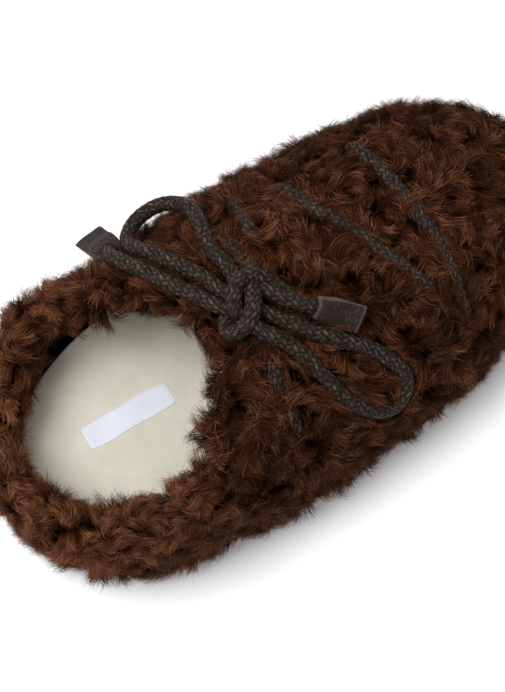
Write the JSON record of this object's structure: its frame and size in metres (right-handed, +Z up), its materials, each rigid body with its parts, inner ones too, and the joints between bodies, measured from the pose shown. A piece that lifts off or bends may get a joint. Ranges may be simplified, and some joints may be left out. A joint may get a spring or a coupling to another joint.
{
  "type": "fluffy house slipper",
  "caption": "Closed-toe slip-on house slipper with curly faux-fur upper, low fur collar round the heel, threaded cord bow with folded tabs, plush footbed and fur-wrapped sole.",
  "frame": {"origin": "centre of the bounding box at the underside of the sole, measured without the free bow strands", "axes": "+X from heel to toe, +Y towards the wearer's inner side (this is a right foot), +Z up from the sole"},
  "size_m": [0.27, 0.1339, 0.0937],
  "materials": {
    "fur": "curly long-pile faux fur, matt with soft glints",
    "sock_plush": "short cream plush",
    "label_weave": "woven satin tape, blank",
    "label_thread": "sewing thread",
    "lining_black": "black knitted textile",
    "vamp_plush": "short cream plush",
    "foam": "soft cushion foam",
    "midsole_foam": "brown EVA foam",
    "outsole_rubber": "matt rubber with cross grooves",
    "fibre_board": "pressed fibre board",
    "stiffener": "thermoplastic stiffener",
    "lace": "round braided cord",
    "tab_leather": "smooth synthetic leather, matt",
    "tab_thread": "sewing thread",
    "eyelet_metal": "small plain eyelets"
  },
  "bodies": {
    "slipper": {"outsole": "outsole_rubber", "midsole": "midsole_foam", "sole_wrap": "fur", "insole_board": "fibre_board", "footbed_foam": "foam", "sock": "sock_plush", "sock_label": "label_weave", "label_stitches": "label_thread", "vamp_fur": "fur", "vamp_foam": "foam", "vamp_lining": "vamp_plush", "toe_puff": "stiffener", "collar_fur": "fur", "collar_foam": "foam", "heel_counter": "stiffener", "collar_lining": "lining_black", "eyelets": "eyelet_metal", "lace_bar_toe": "lace", "lace_bar_middle": "lace", "lace_bar_instep": "lace", "lace_bar_side": "lace", "lace_lead": "lace", "bow_knot": "lace"},
    "left_loop": {"left_loop": "lace"},
    "right_loop": {"right_loop": "lace"},
    "left_tail": {"left_tail": "lace", "left_tab": "tab_leather", "left_tab_stitches": "tab_thread"},
    "right_tail": {"right_tail": "lace", "right_tab": "tab_leather", "right_tab_stitches": "tab_thread"}
  },
  "joints": [
    {"name": "left_loop_lift", "type": "hinge", "parent": "slipper", "child": "left_loop", "pos_m": [-0.024, 0.002, 0.0875], "axis": [0.8238, 0.5669, 0], "range_deg": [0, 60]},
    {"name": "left_tail_lift", "type": "hinge", "parent": "slipper", "child": "left_tail", "pos_m": [-0.024, 0.002, 0.0875], "axis": [0.8238, 0.5669, 0], "range_deg": [0, 60]},
    {"name": "right_loop_lift", "type": "hinge", "parent": "slipper", "child": "right_loop", "pos_m": [-0.0125, -0.011, 0.0875], "axis": [-0.8336, -0.5524, 0], "range_deg": [0, 60]},
    {"name": "right_tail_lift", "type": "hinge", "parent": "slipper", "child": "right_tail", "pos_m": [-0.0125, -0.011, 0.0875], "axis": [-0.8336, -0.5524, 0], "range_deg": [0, 60]}
  ]
}
